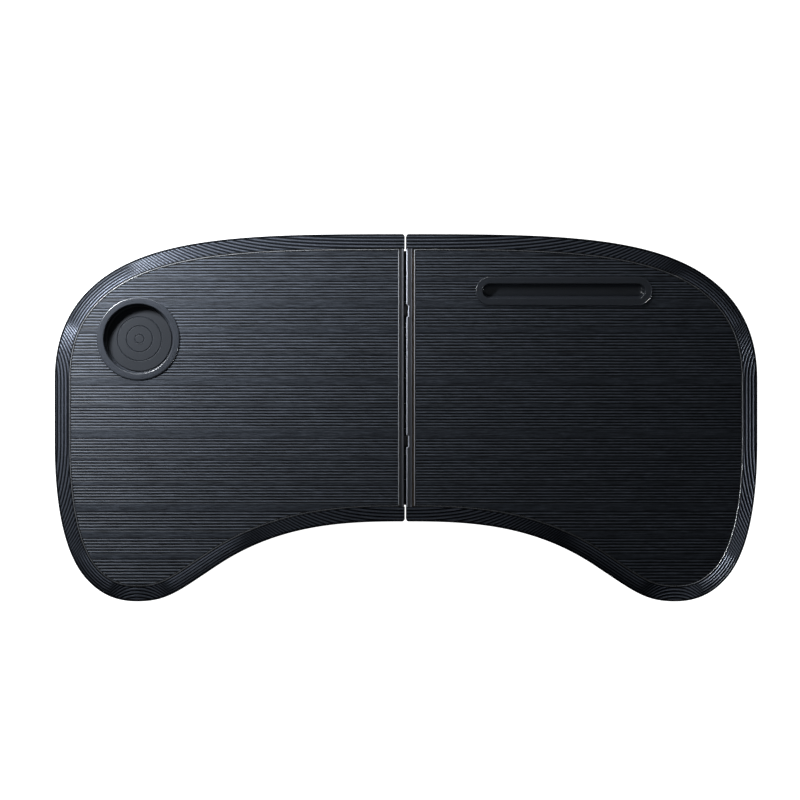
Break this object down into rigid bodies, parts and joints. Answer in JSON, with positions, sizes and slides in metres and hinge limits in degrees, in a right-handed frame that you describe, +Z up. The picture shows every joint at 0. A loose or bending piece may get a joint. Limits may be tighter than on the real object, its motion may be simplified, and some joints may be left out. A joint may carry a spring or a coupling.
{
  "type": "folding lap tray table",
  "caption": "Folding lap tray table in two hinged leaves with an arched front, a cup recess, a pen slot and folding U legs stowed underneath.",
  "frame": {"origin": "on the ground under the middle of the outline", "axes": "+X to the user's right, along the width; +Y away from the user; +Z up"},
  "size_m": [0.7, 0.366, 0.0323],
  "materials": {
    "panel": "charcoal wood-grain laminate, satin",
    "rim": "fine-ribbed black plastic",
    "core": "raw fibreboard",
    "spine": "dark anodised",
    "insert": "satin charcoal",
    "steel": "plain",
    "leg": "dark anodised",
    "rubber": "matt",
    "nylon": "black nylon"
  },
  "bodies": {
    "left_leaf": {"left_rim": "rim", "left_core_board": "core", "left_deck_panel": "panel", "left_spine": "spine", "left_batten": "core", "left_hinge_plate": "steel", "left_hinge_screw_1": "steel", "left_hinge_screw_2": "steel", "left_hinge_screw_3": "steel", "left_back_bumper": "rubber", "left_back_leg_bracket": "nylon", "left_back_pivot_pin": "steel", "left_back_bracket_screw_1": "steel", "left_back_bracket_screw_2": "steel", "left_front_bumper": "rubber", "left_front_leg_bracket": "nylon", "left_front_pivot_pin": "steel", "left_front_bracket_screw_1": "steel", "left_front_bracket_screw_2": "steel", "left_catch_post": "nylon", "left_catch_screw": "steel", "cup_insert": "insert", "cup_mat": "rubber", "back_gap_lug": "nylon", "front_gap_lug": "nylon", "hinge_pin": "steel"},
    "right_leaf": {"right_rim": "rim", "right_core_board": "core", "right_deck_panel": "panel", "right_spine": "spine", "right_batten": "core", "right_hinge_plate": "steel", "right_hinge_screw_1": "steel", "right_hinge_screw_2": "steel", "right_hinge_screw_3": "steel", "right_back_bumper": "rubber", "right_back_leg_bracket": "nylon", "right_back_pivot_pin": "steel", "right_back_bracket_screw_1": "steel", "right_back_bracket_screw_2": "steel", "right_front_bumper": "rubber", "right_front_leg_bracket": "nylon", "right_front_pivot_pin": "steel", "right_front_bracket_screw_1": "steel", "right_front_bracket_screw_2": "steel", "right_catch_post": "nylon", "right_catch_screw": "steel", "pen_slot_insert": "insert"},
    "left_leg": {"left_leg_frame": "leg", "left_back_foot_sleeve": "rubber", "left_front_foot_sleeve": "rubber"},
    "right_leg": {"right_leg_frame": "leg", "right_back_foot_sleeve": "rubber", "right_front_foot_sleeve": "rubber"},
    "left_catch": {"left_leg_catch": "nylon"},
    "right_catch": {"right_leg_catch": "nylon"}
  },
  "joints": [
    {"name": "leaf_fold", "type": "hinge", "parent": "left_leaf", "child": "right_leaf", "pos_m": [-0.001, 0.03985, 0.0033], "axis": [0, 1, 0], "range_deg": [0, 178.5]},
    {"name": "left_leg_fold", "type": "hinge", "parent": "left_leaf", "child": "left_leg", "pos_m": [-0.279, 0.0195, 0.0131], "axis": [0, -1, 0], "range_deg": [-98, 0]},
    {"name": "right_leg_fold", "type": "hinge", "parent": "right_leaf", "child": "right_leg", "pos_m": [0.277, 0.0195, 0.0131], "axis": [0, 1, 0], "range_deg": [-98, 0]},
    {"name": "left_catch_turn", "type": "hinge", "parent": "left_leaf", "child": "left_catch", "pos_m": [-0.035, 0.02, 0.0045], "axis": [0, 0, -1], "range_deg": [0, 90]},
    {"name": "right_catch_turn", "type": "hinge", "parent": "right_leaf", "child": "right_catch", "pos_m": [0.033, 0.02, 0.0045], "axis": [0, 0, 1], "range_deg": [0, 90]}
  ]
}
